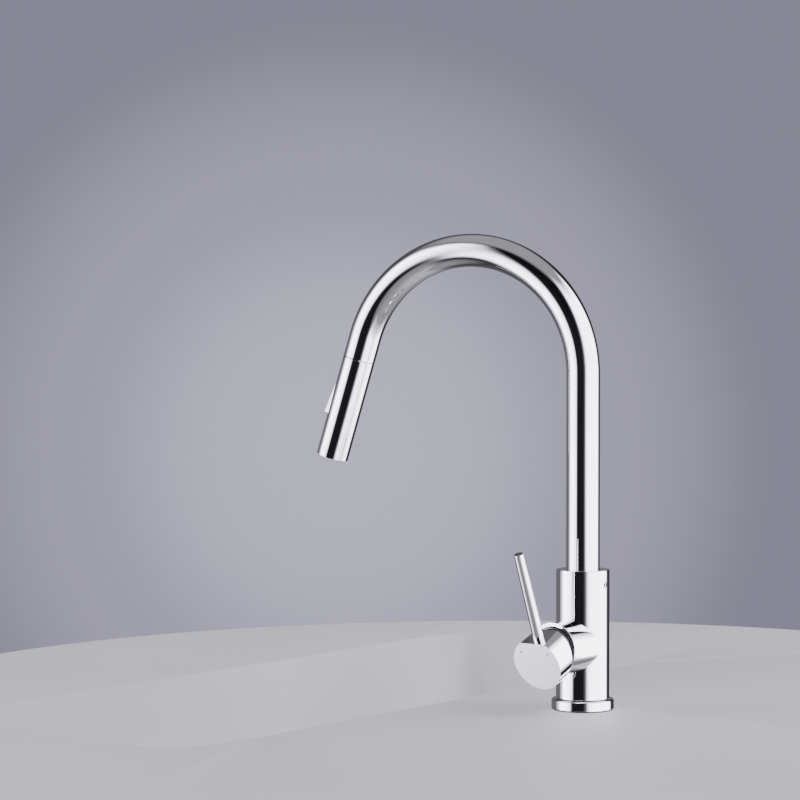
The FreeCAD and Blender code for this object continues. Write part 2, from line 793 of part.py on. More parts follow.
os.makedirs("parts", exist_ok=True)
for name, shape in build().items():
    shape.exportStep("parts/" + name + ".step")
    print(name, shape.isValid(), len(shape.Solids), round(shape.Volume, 1))
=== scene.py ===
import json
import math

import bmesh
import bpy
from mathutils import Matrix, Vector


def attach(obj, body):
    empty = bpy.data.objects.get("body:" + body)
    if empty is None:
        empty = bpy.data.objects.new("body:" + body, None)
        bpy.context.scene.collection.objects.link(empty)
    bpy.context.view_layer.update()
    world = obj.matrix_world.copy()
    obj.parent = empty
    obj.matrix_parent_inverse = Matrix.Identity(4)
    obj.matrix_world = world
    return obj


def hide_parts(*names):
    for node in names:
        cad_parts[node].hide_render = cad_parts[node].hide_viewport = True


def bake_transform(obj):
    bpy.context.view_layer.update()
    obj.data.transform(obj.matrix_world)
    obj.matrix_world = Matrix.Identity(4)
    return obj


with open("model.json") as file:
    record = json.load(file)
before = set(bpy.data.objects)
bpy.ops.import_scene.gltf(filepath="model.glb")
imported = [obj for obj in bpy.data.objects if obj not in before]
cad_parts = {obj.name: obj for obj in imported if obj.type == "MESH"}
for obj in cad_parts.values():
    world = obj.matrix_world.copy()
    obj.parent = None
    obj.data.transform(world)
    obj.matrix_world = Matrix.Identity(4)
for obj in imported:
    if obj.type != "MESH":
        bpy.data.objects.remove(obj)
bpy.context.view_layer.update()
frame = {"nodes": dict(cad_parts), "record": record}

# Driving dimensions in metres, the same as the CAD model's.
MM = 0.001
TUBE_R = 14.0 * MM
TUBE_WALL = 1.2 * MM
TUBE_FOOT = 107.8 * MM
BEND_R = 104.0 * MM
BEND_Z = 278.5 * MM
OUTLET_TILT = math.radians(17.3)
OUTLET_STRAIGHT = 20.0 * MM
SPOUT_SWING = math.radians(11.7)
BODY_R = 22.2 * MM
BODY_TOP = 116.2 * MM
BODY_FOOT = 9.5 * MM
BRANCH_R = 21.9 * MM
BRANCH_Z = 53.8 * MM
BRANCH_END = 43.9 * MM
FLANGE_R = 25.9 * MM
FLANGE_TOP = 8.9 * MM
GASKET_T = 1.0 * MM
RIM = 0.5 * MM
SOCKET_R = 14.08 * MM
SOCKET_Z = 73.0 * MM
PASSAGE_R = 6.4 * MM
CHAMBER_R = 18.0 * MM
CHAMBER_FOOT = 13.5 * MM
CHAMBER_STEP = 34.5 * MM
SCREW_Z = 104.3 * MM
SCREW_HOLE_R = 2.5 * MM
SPIGOT_R = 20.0 * MM
SHANK_R = 17.0 * MM
SHANK_BORE = 15.2 * MM
SHANK_FOOT = -62.0 * MM
SHANK_TOP = 12.8 * MM
THREAD_PITCH = 1.5 * MM
THREAD_DEPTH = 0.8 * MM
WORKTOP_T = 31.0 * MM
PIVOT_X = 40.0 * MM
LEVER_OPEN = math.radians(21.9)
DOME_R = 18.7 * MM
CAP_R = 22.25 * MM
CAP_FACE = 28.1 * MM
CAP_REAR_TOP = 4.35 * MM
CAP_REAR_BOTTOM = 14.6 * MM
FLAT_FRONT = 19.0 * MM
FLAT_REAR = 20.1 * MM
LEVER_Q = 18.2 * MM
LEVER_TOP = 94.8 * MM
LEVER_TIP_R = 4.0 * MM
LEVER_BASE_R = 4.6 * MM
LEVER_SEAT = 0.3 * MM
STEM_HALF = 3.8 * MM
STEM_LENGTH = 24.5 * MM
PIN_TAIL = 11.4 * MM
PIN_TAIL_R = 2.95 * MM
SCREW_Q = 21.8 * MM
DOT_U = 13.0 * MM
DOT_V = 10.5 * MM
DOT_R = 0.95 * MM
DOT_DEPTH = 0.7 * MM
HOSE_R = 5.75 * MM
HOSE_FOOT = -70.0 * MM
HOSE_TAIL = 9.5 * MM
HOSE_SIDES = 48
BRAID_STARTS = 12.0
BRAID_TURNS = 240.0
HEAD_LEN = 89.6 * MM
HEAD_START = 0.4 * MM
EDGE = 0.4 * MM
SHELL_BORE = 12.5 * MM
PIN_X = 9.0 * MM
PIN_DOWN = 36.0 * MM
BUTTON_BACK = 10.5 * MM
WINDOW_GAP = 0.45 * MM
HUB_R = 2.2 * MM
HUB_HALF = 5.1 * MM
FINGER_R = 1.0 * MM
FINGER_START = 3.0 * MM
BUTTON_HALF_W = 5.4 * MM
BUTTON_HALF_L = 18.5 * MM
BUTTON_TILT = math.radians(7.0)
BUTTON_PROUD = 1.1 * MM

Y = Vector((0, 1, 0))
Z = Vector((0, 0, 1))
ROUND = 160

# Brightness of the white panels, and where the backdrop's bright pool lies.
PANEL_STRENGTH = 8.0
POOL_WAY = (-0.7695, -0.6371, -0.045)


# ---- frames the pieces are drawn in --------------------------------------------------


def outlet_point():
    """The seam between spout and head, in the spout's own plane."""
    x = BEND_R + BEND_R * math.cos(OUTLET_TILT) + OUTLET_STRAIGHT * math.sin(OUTLET_TILT)
    z = BEND_Z + BEND_R * math.sin(OUTLET_TILT) - OUTLET_STRAIGHT * math.cos(OUTLET_TILT)
    return Vector((x, 0, z))


SPOUT = Matrix.Rotation(SPOUT_SWING - math.pi / 2, 4, "Z")
HEAD = SPOUT @ Matrix.Translation(outlet_point()) @ Matrix.Rotation(-OUTLET_TILT, 4, "Y")
LEVER = Matrix.Translation((PIVOT_X, 0, BRANCH_Z)) @ Matrix.Rotation(LEVER_OPEN, 4, "Y")
BRANCH = Matrix.Translation((0, 0, BRANCH_Z)) @ Matrix.Rotation(math.pi / 2, 4, "Y")
ROOT = Matrix.Identity(4)


# ---- camera --------------------------------------------------------------------------


def make_camera():
    """A long lens to the right of the handle, a little above the valve."""
    turn = math.radians(38.2)
    back = Vector((math.cos(turn), math.sin(turn), 0))
    right = Vector((-math.sin(turn), math.cos(turn), 0))
    distance, aside, height, pitch = 1.990, 0.1519, 0.3057, math.radians(1.41)
    data = bpy.data.cameras.new("camera")
    data.sensor_width = 36
    data.lens = 108
    data.clip_start, data.clip_end = 0.01, 50
    cam = bpy.data.objects.new("camera", data)
    bpy.context.scene.collection.objects.link(cam)
    cam.location = back * distance - right * aside + Z * height
    look = -back * math.cos(pitch) - Z * math.sin(pitch)
    cam.rotation_mode = "QUATERNION"
    cam.rotation_quaternion = look.to_track_quat("-Z", "Y")
    bpy.context.scene.camera = cam


# ---- node helpers --------------------------------------------------------------------


class Nodes:
    """A short way to write a node tree."""

    def __init__(self, tree):
        self.tree = tree
        tree.nodes.clear()

    def add(self, kind, links=None, **values):
        node = self.tree.nodes.new(kind)
        for key, value in values.items():
            setattr(node, key, value)
        for socket, source in (links or {}).items():
            if isinstance(source, bpy.types.NodeSocket):
                self.tree.links.new(source, node.inputs[socket])
            else:
                node.inputs[socket].default_value = source
        return node

    def ramp(self, source, stops, mode="LINEAR"):
        node = self.add("ShaderNodeValToRGB", {0: source})
        node.color_ramp.interpolation = mode
        while len(node.color_ramp.elements) < len(stops):
            node.color_ramp.elements.new(1.0)
        for element, (place, colour) in zip(node.color_ramp.elements, stops):
            element.position = place
            element.color = colour if len(colour) == 4 else (*colour, 1)
        return node.outputs["Color"]

    def math(self, operation, a, b=0.0, c=0.0):
        return self.add("ShaderNodeMath", {0: a, 1: b, 2: c}, operation=operation).outputs[0]


def grey(value):
    """The same value in all three colour channels."""
    return (value, value, value)


def surface(name, colour, metallic=0.0, rough=(0.2, 0.3), rough_scale=40.0, tint=0.06,
            tint_scale=25.0, bump=0.0, bump_scale=900.0, bump_detail=4.0, **sockets):
    """A principled material whose colour, roughness and grain vary with procedural noise."""
    material = bpy.data.materials.new(name)
    material.use_nodes = True
    n = Nodes(material.node_tree)
    place = n.add("ShaderNodeTexCoord").outputs["Object"]
    patches = n.add("ShaderNodeTexNoise", {"Vector": place, "Scale": tint_scale, "Detail": 3.0})
    low = tuple(c * (1 - tint) for c in colour)
    high = tuple(min(1.0, c * (1 + tint)) for c in colour)
    tone = n.ramp(patches.outputs["Fac"], [(0.3, low), (0.7, high)])
    smear = n.add("ShaderNodeTexNoise", {"Vector": place, "Scale": rough_scale, "Detail": 5.0})
    gloss = n.ramp(smear.outputs["Fac"], [(0.35, grey(rough[0])), (0.7, grey(rough[1]))])
    links = {"Base Color": tone, "Roughness": gloss, "Metallic": metallic}
    links.update(sockets)
    if bump:
        grain = n.add("ShaderNodeTexNoise",
                      {"Vector": place, "Scale": bump_scale, "Detail": bump_detail})
        relief = n.add("ShaderNodeBump",
                       {"Height": grain.outputs["Fac"], "Strength": bump, "Distance": 0.0002})
        links["Normal"] = relief.outputs["Normal"]
    shader = n.add("ShaderNodeBsdfPrincipled", links)
    n.add("ShaderNodeOutputMaterial", {"Surface": shader.outputs[0]})
    return material


def braid_material():
    """Woven nylon sleeve: two families of strands wound round the hose's own axis."""
    material = bpy.data.materials.new("nylon_braid")
    material.use_nodes = True
    n = Nodes(material.node_tree)
    uv = n.add("ShaderNodeUVMap", uv_map="braid").outputs["UV"]
    around = n.add("ShaderNodeSeparateXYZ", {0: uv}).outputs["X"]
    place = n.add("ShaderNodeTexCoord").outputs["Object"]
    height = n.add("ShaderNodeSeparateXYZ", {0: place}).outputs["Z"]
    waves = []
    for way in (1.0, -1.0):
        turn = n.math("MULTIPLY", around, BRAID_STARTS * way)
        phase = n.math("MULTIPLY_ADD", height, BRAID_TURNS, turn)
        wave = n.math("SINE", n.math("MULTIPLY", phase, 2 * math.pi))
        waves.append(n.math("MULTIPLY_ADD", wave, 0.5, 0.5))
    weave = n.math("MAXIMUM", waves[0], waves[1])
    cross = n.math("MULTIPLY", waves[0], waves[1])
    relief_height = n.math("MULTIPLY_ADD", cross, 0.4, weave)
    tone = n.ramp(weave, [(0.35, (0.05, 0.05, 0.055)), (1.0, (0.30, 0.31, 0.34))])
    relief = n.add("ShaderNodeBump", {"Height": relief_height, "Strength": 0.8, "Distance": 0.0004})
    gloss = n.ramp(cross, [(0.0, grey(0.55)), (1.0, grey(0.38))])
    shader = n.add("ShaderNodeBsdfPrincipled", {
        "Base Color": tone, "Roughness": gloss, "Sheen Weight": 0.25,
        "Normal": relief.outputs["Normal"]})
    n.add("ShaderNodeOutputMaterial", {"Surface": shader.outputs[0]})
    return material


def make_materials():
    """One material for each of the record's slots."""
    return {
        "chrome": surface("polished_chrome", (0.80, 0.80, 0.83), 1.0, (0.03, 0.06), 60.0, 0.02,
                          18.0),
        "satin_chrome": surface("satin_chrome", (0.74, 0.74, 0.77), 1.0, (0.16, 0.24), 90.0, 0.03,
                                30.0, 0.05, 1800.0),
        "brass": surface("machined_brass", (0.72, 0.50, 0.22), 1.0, (0.24, 0.34), 120.0, 0.06,
                         60.0, 0.03, 900.0),
        "zinc_steel": surface("zinc_plated_steel", (0.60, 0.61, 0.63), 1.0, (0.28, 0.42), 90.0,
                              0.10, 70.0, 0.10, 1400.0),
        "steel": surface("satin_steel", (0.50, 0.50, 0.52), 1.0, (0.20, 0.32), 150.0, 0.06,
                         90.0, 0.08, 2200.0),
        "black_rubber": surface("black_rubber", (0.022, 0.022, 0.024), 0.0, (0.55, 0.75), 60.0,
                                0.25, 50.0, 0.25, 1600.0),
        "grey_rubber": surface("grey_rubber", (0.34, 0.35, 0.37), 0.0, (0.45, 0.6), 80.0, 0.08,
                               60.0, 0.18, 1800.0),
        "white_plastic": surface("white_acetal", (0.80, 0.80, 0.78), 0.0, (0.30, 0.42), 70.0,
                                 0.03, 40.0, 0.10, 1500.0),
        "grey_plastic": surface("grey_abs", (0.23, 0.24, 0.26), 0.0, (0.30, 0.45), 70.0, 0.08,
                                45.0, 0.15, 1700.0),
        "black_plastic": surface("black_abs", (0.03, 0.03, 0.034), 0.0, (0.32, 0.48), 70.0, 0.2,
                                 45.0, 0.15, 1700.0),
        "button_plastic": surface("chromed_button", (0.78, 0.78, 0.81), 0.92, (0.07, 0.12), 80.0,
                                  0.02, 40.0),
        "ceramic": surface("alumina_ceramic", (0.84, 0.81, 0.76), 0.0, (0.10, 0.18), 80.0, 0.03,
                           60.0, 0.03, 2000.0),
        "braid": braid_material(),
        "hot_mark": surface("hot_mark_enamel", (0.20, 0.17, 0.20), 0.0, (0.12, 0.22), 90.0, 0.1,
                            300.0, 0.05, 2500.0),
        "cold_mark": surface("cold_mark_enamel", (0.40, 0.40, 0.46), 0.0, (0.12, 0.22), 90.0,
                             0.1, 300.0, 0.05, 2500.0),
    }


# ---- mesh helpers --------------------------------------------------------------------


def rounded(points, steps=5):
    """An outline whose corners are arcs. Each point is (r, h) or (r, h, corner radius)."""
    outline = []
    count = len(points)
    for i, point in enumerate(points):
        here = Vector(point[:2])
        radius = point[2] if len(point) > 2 else 0.0
        if not radius:
            outline.append(here)
            continue
        to_last = (Vector(points[i - 1][:2]) - here).normalized()
        to_next = (Vector(points[(i + 1) % count][:2]) - here).normalized()
        half = to_last.angle(to_next) / 2
        reach = radius / math.tan(half)
        centre = here + (to_last + to_next).normalized() * (radius / math.sin(half))
        a = here + to_last * reach - centre
        b = here + to_next * reach - centre
        sweep = a.angle(b)
        for k in range(steps + 1):
            t = k / steps
            w = (math.sin((1 - t) * sweep) / math.sin(sweep), math.sin(t * sweep) / math.sin(sweep))
            outline.append(centre + a * w[0] + b * w[1])
    return outline


def new_object(name, bm):
    """An object from a bmesh, with outward normals."""
    bmesh.ops.remove_doubles(bm, verts=bm.verts, dist=1e-7)
    bmesh.ops.recalc_face_normals(bm, faces=bm.faces)
    mesh = bpy.data.meshes.new(name)
    bm.to_mesh(mesh)
    bm.free()
    obj = bpy.data.objects.new(name, mesh)
    bpy.context.scene.collection.objects.link(obj)
    return obj


def lathe(name, outline, place=ROOT, segments=ROUND):
    """A closed solid of revolution about the local Z axis."""
    bm = bmesh.new()
    rings = []
    for r, h in outline:
        if r < 1e-7:
            rings.append([bm.verts.new((0, 0, h))])
            continue
        ring = []
        for i in range(segments):
            turn = 2 * math.pi * i / segments
            ring.append(bm.verts.new((r * math.cos(turn), r * math.sin(turn), h)))
        rings.append(ring)
    for a, b in zip(rings, rings[1:] + rings[:1]):
        for i in range(segments):
            j = (i + 1) % segments
            quad = [a[i % len(a)], a[j % len(a)], b[j % len(b)], b[i % len(b)]]
            unique = list(dict.fromkeys(quad))
            if len(unique) > 2:
                bm.faces.new(unique)
    bm.transform(place)
    return new_object(name, bm)


def box_mesh(name, low, high, place=ROOT):
    """A block between two corners, used as a tool."""
    bm = bmesh.new()
    bmesh.ops.create_cube(bm, size=1)
    size = Vector(high) - Vector(low)
    middle = (Vector(high) + Vector(low)) / 2
    bm.transform(Matrix.Translation(middle) @ Matrix.Diagonal((*size, 1)))
    bm.transform(place)
    return new_object(name, bm)


def prism(name, corners, low, high, place=ROOT):
    """A block whose XZ outline is given, between two Y values."""
    bm = bmesh.new()
    front = [bm.verts.new((x, low, z)) for x, z in corners]
    rear = [bm.verts.new((x, high, z)) for x, z in corners]
    bm.faces.new(front)
    bm.faces.new(rear)
    for i in range(len(corners)):
        j = (i + 1) % len(corners)
        bm.faces.new([front[i], front[j], rear[j], rear[i]])
    bm.transform(place)
    return new_object(name, bm)


def use(obj, modifier):
    """Applies one modifier and keeps its result as the mesh."""
    bpy.context.view_layer.update()
    graph = bpy.context.evaluated_depsgraph_get()
    mesh = bpy.data.meshes.new_from_object(obj.evaluated_get(graph))
    obj.modifiers.remove(modifier)
    old = obj.data
    obj.data = mesh
    mesh.name = old.name
    bpy.data.meshes.remove(old)


def carve(obj, tools, operation="DIFFERENCE"):
    """Booleans the tools into the object, then removes the tools."""
    for tool in tools:
        modifier = obj.modifiers.new("carve", "BOOLEAN")
        modifier.operation = operation
        modifier.solver = "EXACT"
        modifier.object = tool
        use(obj, modifier)
        bpy.data.objects.remove(tool)
    return obj


def soften(obj, width, segments=3, angle=35):
    """Rounds the sharp edges."""
    modifier = obj.modifiers.new("soften", "BEVEL")
    modifier.width = width
    modifier.segments = segments
    modifier.limit_method = "ANGLE"
    modifier.angle_limit = math.radians(angle)
    modifier.use_clamp_overlap = True
    modifier.miter_outer = "MITER_ARC"
    use(obj, modifier)
    return obj


def dress(obj, body, slot, nodes=(), sharp=40):
    """Shades the piece, gives it its material, and joins it to its CAD body."""
    mesh = obj.data
    for polygon in mesh.polygons:
        polygon.use_smooth = True
    mesh.set_sharp_from_angle(angle=math.radians(sharp))
    mesh.materials.clear()
    mesh.materials.append(MATERIALS[slot])
    weighted = obj.modifiers.new("even_normals", "WEIGHTED_NORMAL")
    weighted.keep_sharp = True
    use(obj, weighted)
    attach(obj, body)
    if nodes:
        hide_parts(*nodes)
    return obj


def tube_path(foot, tail, bend_steps=150):
    """Centre points and directions up the column, round the bend and down the outlet."""
    points = [(Vector((0, 0, foot + (BEND_Z - foot) * i / 12)), Z.copy()) for i in range(12)]
    turn = math.pi - OUTLET_TILT
    for i in range(bend_steps + 1):
        a = turn * i / bend_steps
        point = Vector((BEND_R - BEND_R * math.cos(a), 0, BEND_Z + BEND_R * math.sin(a)))
        points.append((point, Vector((math.sin(a), 0, math.cos(a)))))
    last, way = points[-1]
    points += [(last + way * tail * i / 8, way) for i in range(1, 9)]
    return points


def pipe_mesh(name, path, outer, inner=None, segments=96, edge=0.0):
    """A tube along a path in the XZ plane, hollow if it has an inner radius."""
    bm = bmesh.new()

    def ring(point, way, radius):
        side = way.cross(Y)
        verts = []
        for i in range(segments):
            turn = 2 * math.pi * i / segments
            spoke = side * math.cos(turn) + Y * math.sin(turn)
            verts.append(bm.verts.new(point + spoke * radius))
        return verts

    def join(a, b):
        for i in range(segments):
            j = (i + 1) % segments
            bm.faces.new([a[i], a[j], b[j], b[i]])

    shells = [ring(p, w, outer) for p, w in path]
    if edge:
        for end, sign in ((0, 1), (-1, -1)):
            point, way = path[end]
            inset = ring(point, way, outer - edge)
            lifted = ring(point + way * sign * edge, way, outer)
            bmesh.ops.delete(bm, geom=shells[end], context="VERTS")
            shells[end] = lifted
            shells.insert(0 if end == 0 else len(shells), inset)
    for a, b in zip(shells, shells[1:]):
        join(a, b)
    if inner:
        bore = [ring(p, w, inner) for p, w in path]
        for a, b in zip(bore, bore[1:]):
            join(a, b)
        join(shells[0], bore[0])
        join(shells[-1], bore[-1])
    else:
        bm.faces.new(shells[0])
        bm.faces.new(shells[-1])
    bm.transform(SPOUT)
    return new_object(name, bm)


# ---- base and column -----------------------------------------------------------------


def make_column():
    """Column and valve branch as one casting with crisp, finely rounded rims."""
    column = lathe("column_casting", rounded([
        (0, BODY_FOOT), (BODY_R, BODY_FOOT, RIM), (BODY_R, BODY_TOP, RIM), (0, BODY_TOP)]),
        segments=256)
    branch = lathe("tool", rounded([
        (0, 0), (BRANCH_R, 0), (BRANCH_R, BRANCH_END, RIM), (0, BRANCH_END)]), BRANCH, 256)
    carve(column, [branch], "UNION")
    mouth = BODY_TOP + 0.2 * MM
    socket = lathe("tool", [
        (0, SOCKET_Z), (SOCKET_R, SOCKET_Z), (SOCKET_R, BODY_TOP - 0.25 * MM),
        (SOCKET_R + 0.42 * MM, mouth), (0, mouth)])
    passage = lathe("tool", [
        (0, 0), (PASSAGE_R, 0), (PASSAGE_R, SOCKET_Z + 7 * MM), (0, SOCKET_Z + 7 * MM)])
    chamber = lathe("tool", [
        (0, CHAMBER_FOOT), (CHAMBER_R, CHAMBER_FOOT), (CHAMBER_R, CHAMBER_STEP),
        (CHAMBER_R + MM, CHAMBER_STEP), (CHAMBER_R + MM, 50 * MM), (0, 50 * MM)], BRANCH)
    screw_place = Matrix.Translation((0, 0, SCREW_Z)) @ Matrix.Rotation(-math.pi / 2, 4, "X")
    screw_hole = lathe("tool", [
        (0, 13 * MM), (SCREW_HOLE_R, 13 * MM), (SCREW_HOLE_R, BODY_R - RIM),
        (3.1 * MM, BODY_R + 0.4 * MM), (0, BODY_R + 0.4 * MM)], screw_place, 64)
    carve(column, [socket, passage, chamber, screw_hole])
    return dress(column, "deck_body", "chrome", ["body_casting"], sharp=25)


def make_flange():
    """Base ring with a rounded shoulder."""
    flange = lathe("base_ring", rounded([
        (SPIGOT_R + 0.1 * MM, GASKET_T), (FLANGE_R, GASKET_T, 0.3 * MM),
        (FLANGE_R, FLANGE_TOP, 1.6 * MM), (SPIGOT_R + 0.1 * MM, FLANGE_TOP)], 8), segments=256)
    return dress(flange, "deck_body", "chrome", ["base_flange"])


def make_shank():
    """Threaded shank with a real helical thread."""
    segments = 96
    low, high = SHANK_FOOT, 0.5 * MM
    rows = int((high - low) / THREAD_PITCH * 8)
    bm = bmesh.new()

    def vertex(r, i, h):
        turn = 2 * math.pi * i / segments
        return bm.verts.new((r * math.cos(turn), r * math.sin(turn), h))

    def thread_radius(i, h):
        phase = ((h - low) / THREAD_PITCH + i / segments) % 1.0
        fade = min(1.0, (h - low) / THREAD_PITCH, (high - h) / THREAD_PITCH)
        return SHANK_R - THREAD_DEPTH * (1 - abs(2 * phase - 1)) * fade

    heights = [low + (high - low) * k / rows for k in range(rows + 1)]
    rings = [[vertex(thread_radius(i, h), i, h) for i in range(segments)] for h in heights]
    for r, h in ((SHANK_R, SHANK_TOP), (SHANK_BORE, SHANK_TOP), (SHANK_BORE, low)):
        rings.append([vertex(r, i, h) for i in range(segments)])
    for a, b in zip(rings, rings[1:] + rings[:1]):
        for i in range(segments):
            j = (i + 1) % segments
            bm.faces.new([a[i], a[j], b[j], b[i]])
    shank = new_object("shank_thread", bm)
    return dress(shank, "deck_body", "brass", ["threaded_shank"], sharp=60)


# ---- handle --------------------------------------------------------------------------


def make_cap():
    """Handle cap: rounded face, slanted rear, planed flat with fine bevels, hollow inside."""
    to_x = LEVER @ Matrix.Rotation(math.pi / 2, 4, "Y")
    cap = lathe("handle_body", [(0, 0), (CAP_R, 0), (CAP_R, CAP_FACE), (0, CAP_FACE)], to_x, 224)
    slope = (CAP_REAR_BOTTOM - CAP_REAR_TOP) / (2 * CAP_R)
    middle = (CAP_REAR_BOTTOM + CAP_REAR_TOP) / 2
    reach = CAP_R + 5 * MM
    rear = prism("tool", [(-reach, -reach), (middle + slope * reach, -reach),
                          (middle - slope * reach, reach), (-reach, reach)], -reach, reach, LEVER)
    rise = (FLAT_REAR - FLAT_FRONT) / CAP_FACE
    out = 5 * MM
    flat = prism("tool", [(-out, FLAT_REAR + out * rise), (CAP_FACE + out, FLAT_FRONT - out * rise),
                          (CAP_FACE + out, 2 * CAP_R), (-out, 2 * CAP_R)], -reach, reach, LEVER)
    carve(cap, [rear, flat])
    soften(cap, 0.55 * MM, 4, 30)
    hollow = lathe("tool", dome_outline(DOME_R + 0.6 * MM, 0, math.pi), to_x, 128)
    half = STEM_HALF + 0.05 * MM
    stem_hole = box_mesh("tool", (0, -half, -half), (STEM_LENGTH, half, half), LEVER)
    seat = flat_height(LEVER_Q) - LEVER_SEAT
    well_r = LEVER_BASE_R + 0.12 * MM
    well = lathe("tool", [
        (0, 11 * MM), (3 * MM, 11 * MM), (3 * MM, seat), (well_r, seat), (well_r, 25 * MM),
        (0, 25 * MM)], LEVER @ Matrix.Translation((LEVER_Q, 0, 0)), 96)
    screw_hole = lathe("tool", [
        (0, -30 * MM), (SCREW_HOLE_R, -30 * MM), (SCREW_HOLE_R, 0), (0, 0)],
        LEVER @ Matrix.Translation((SCREW_Q, 0, 0)), 64)
    carve(cap, [hollow, stem_hole, well, screw_hole])
    floor = CAP_FACE - DOT_DEPTH
    for side in (-1, 1):
        spot = Matrix.Translation((0, side * DOT_U, DOT_V)) @ Matrix.Rotation(math.pi / 2, 4, "Y")
        pocket = lathe("tool", [
            (0, floor), (DOT_R, floor), (DOT_R, CAP_FACE + MM), (0, CAP_FACE + MM)],
            LEVER @ spot, 32)
        carve(cap, [pocket])
    return dress(cap, "lever", "chrome", ["handle_cap"], sharp=28)


def dome_outline(radius, start, end, steps=40):
    """A half circle for a ball, as (r, h) about its centre."""
    turns = [start + (end - start) * i / steps for i in range(steps + 1)]
    return [(radius * math.sin(t), radius * math.cos(t)) for t in turns]


def flat_height(q):
    """Height of the cap's flat above the cap's axis."""
    return FLAT_REAR + (FLAT_FRONT - FLAT_REAR) * q / CAP_FACE


def make_lever():
    """Tapered lever pin with a finely broken top edge."""
    foot = flat_height(LEVER_Q) - LEVER_SEAT
    outline = rounded([
        (0, PIN_TAIL), (PIN_TAIL_R, PIN_TAIL), (PIN_TAIL_R, foot), (LEVER_BASE_R, foot),
        (LEVER_TIP_R, LEVER_TOP, RIM), (0, LEVER_TOP)])
    pin = lathe("lever_rod", outline, LEVER @ Matrix.Translation((LEVER_Q, 0, 0)), 96)
    return dress(pin, "lever", "chrome", ["lever_pin"])


# ---- spout and hose ------------------------------------------------------------------


def make_spout():
    """Gooseneck tube, smooth round the bend, with finely broken ends."""
    path = tube_path(TUBE_FOOT, OUTLET_STRAIGHT)
    tube = pipe_mesh("gooseneck_tube", path, TUBE_R, TUBE_R - TUBE_WALL, 128, EDGE)
    return dress(tube, "spout", "chrome", ["spout_tube"])


def hose_length(name, path):
    """One length of braided hose. Its UV map holds only the turn about the hose's own axis."""
    hose = pipe_mesh(name, path, HOSE_R, None, HOSE_SIDES)
    mesh = hose.data
    layer = mesh.uv_layers.new(name="braid")
    for polygon in mesh.polygons:
        polygon.use_smooth = len(polygon.vertices) == 4
        sides = [mesh.loops[loop].vertex_index % HOSE_SIDES for loop in polygon.loop_indices]
        wraps = max(sides) - min(sides) == HOSE_SIDES - 1
        for loop, side in zip(polygon.loop_indices, sides):
            turn = HOSE_SIDES if wraps and side == 0 else side
            layer.data[loop].uv = (turn / HOSE_SIDES, 0)
    mesh.materials.append(MATERIALS["braid"])
    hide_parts("pull_hose")
    return hose


def make_hose():
    """Braided hose in two lengths that meet at the top of the bend; the rear one joins the spout,
    the front one is joined to no body.
    """
    path = tube_path(HOSE_FOOT, HOSE_TAIL, 120)
    top = max(range(len(path)), key=lambda i: path[i][0].z)
    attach(hose_length("braided_hose_rear", path[:top + 1]), "spout")
    front = hose_length("braided_hose_front", path[top:])
    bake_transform(front)


# ---- spray head ----------------------------------------------------------------------


def rounded_plate(name, half_w, half_l, corner, inner, outer, place, steps=8):
    """A rounded upright plate on the +X side, about the button's pivot height."""
    bm = bmesh.new()
    outline = []
    for sy, sz, start in ((1, 1, 0), (-1, 1, 90), (-1, -1, 180), (1, -1, 270)):
        for k in range(steps + 1):
            turn = math.radians(start + 90 * k / steps)
            outline.append((sy * (half_w - corner) + corner * math.cos(turn),
                            -PIN_DOWN + sz * (half_l - corner) + corner * math.sin(turn)))
    front = [bm.verts.new((inner, y, z)) for y, z in outline]
    rear = [bm.verts.new((outer, y, z)) for y, z in outline]
    bm.faces.new(front)
    bm.faces.new(rear)
    for i in range(len(outline)):
        j = (i + 1) % len(outline)
        bm.faces.new([front[i], front[j], rear[j], rear[i]])
    bm.transform(place)
    return new_object(name, bm)


def make_shell():
    """Chromed sleeve with the button's window."""
    shell = lathe("head_sleeve", rounded([
        (SHELL_BORE, -HEAD_LEN, 0.15 * MM), (TUBE_R, -HEAD_LEN, 0.45 * MM),
        (TUBE_R, -HEAD_START, EDGE), (SHELL_BORE, -HEAD_START)], 4), HEAD, 192)
    drop = HEAD @ Matrix.Translation((0, 0, -0.5 * MM))
    window = rounded_plate("tool", BUTTON_HALF_W + WINDOW_GAP, BUTTON_HALF_L + MM, 2.4 * MM,
                           6 * MM, 20 * MM, drop)
    carve(shell, [window])
    return dress(shell, "head", "chrome", ["head_shell"], sharp=30)


def make_button():
    """Rocker whose crowned, softly rounded face stands proud at its lower end."""
    plate = rounded_plate("rocker", BUTTON_HALF_W, BUTTON_HALF_L, 2.0 * MM, BUTTON_BACK, 20 * MM,
                          HEAD)
    pivot = HEAD @ Matrix.Translation((0, 0, -PIN_DOWN))
    lean = Matrix.Translation((BUTTON_PROUD, 0, 0)) @ Matrix.Rotation(-BUTTON_TILT, 4, "Y")
    face = lathe("tool", [(0, -0.04), (TUBE_R, -0.04), (TUBE_R, 0.04), (0, 0.04)],
                 pivot @ lean, 256)
    carve(plate, [face], "INTERSECT")
    soften(plate, 0.5 * MM, 4, 35)
    across = Matrix.Translation((PIN_X, 0, 0)) @ Matrix.Rotation(math.pi / 2, 4, "X")
    hub = lathe("tool", [(0, -HUB_HALF), (HUB_R, -HUB_HALF), (HUB_R, HUB_HALF), (0, HUB_HALF)],
                pivot @ across, 48)
    web = box_mesh("tool", (PIN_X, -HUB_HALF, -PIN_DOWN - HUB_R),
                   (BUTTON_BACK + MM, HUB_HALF, -PIN_DOWN + HUB_R), HEAD)
    finger = lathe("tool", [
        (0, FINGER_START), (FINGER_R, FINGER_START), (FINGER_R, PIN_X), (0, PIN_X)],
        pivot @ Matrix.Rotation(math.pi / 2, 4, "Y"), 32)
    carve(plate, [web, hub, finger], "UNION")
    return dress(plate, "button", "button_plastic", ["spray_button"], sharp=35)


# ---- carried-over nodes --------------------------------------------------------------


